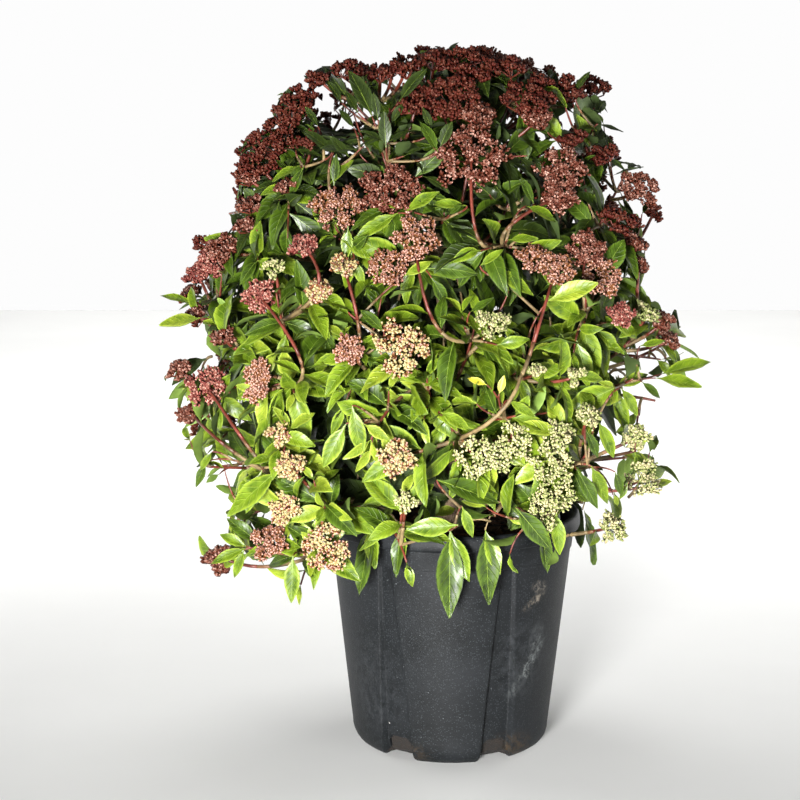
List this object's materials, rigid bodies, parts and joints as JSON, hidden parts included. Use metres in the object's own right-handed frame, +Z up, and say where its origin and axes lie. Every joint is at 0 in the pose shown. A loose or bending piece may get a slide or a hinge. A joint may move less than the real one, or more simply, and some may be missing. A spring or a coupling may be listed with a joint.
{
  "type": "potted laurustinus",
  "caption": "Rounded evergreen shrub with opposite glossy leaves and flat heads of flower buds, in a black nursery pot with six panels.",
  "frame": {"origin": "on the ground under the middle of the pot, in the plane of the pot's flat underside", "axes": "+Z up along the pot's axis, -Y towards the picture's viewer, +X to the viewer's right"},
  "size_m": [0.5988, 0.5786, 0.8145],
  "materials": {
    "pot": "charcoal black moulded polypropylene with a faint sheen, dust and earth smears",
    "potting_mix": "moist dark brown composted bark with chips",
    "bark": "tan grey bark with fine lengthwise cracks",
    "foliage": "glossy mid green leaves, red young twigs, burgundy to cream flower buds"
  },
  "bodies": {
    "root": {"pot": "pot", "potting_mix": "potting_mix", "trunk": "bark", "bough_low_1": "bark", "bough_low_2": "bark", "bough_low_3": "bark", "bough_low_4": "bark", "bough_low_5": "bark", "bough_middle_1": "bark", "bough_middle_2": "bark", "bough_middle_3": "bark", "bough_middle_4": "bark", "bough_middle_5": "bark", "bough_middle_6": "bark", "bough_upper_1": "bark", "bough_upper_2": "bark", "bough_upper_3": "bark", "bough_upper_4": "bark", "bough_upper_5": "bark", "foliage_low_1": "foliage", "foliage_low_2": "foliage", "foliage_low_3": "foliage", "foliage_low_4": "foliage", "foliage_low_5": "foliage", "foliage_middle_1": "foliage", "foliage_middle_2": "foliage", "foliage_middle_3": "foliage", "foliage_middle_4": "foliage", "foliage_middle_5": "foliage", "foliage_middle_6": "foliage", "foliage_upper_1": "foliage", "foliage_upper_2": "foliage", "foliage_upper_3": "foliage", "foliage_upper_4": "foliage", "foliage_upper_5": "foliage", "foliage_top": "foliage"}
  },
  "joints": []
}
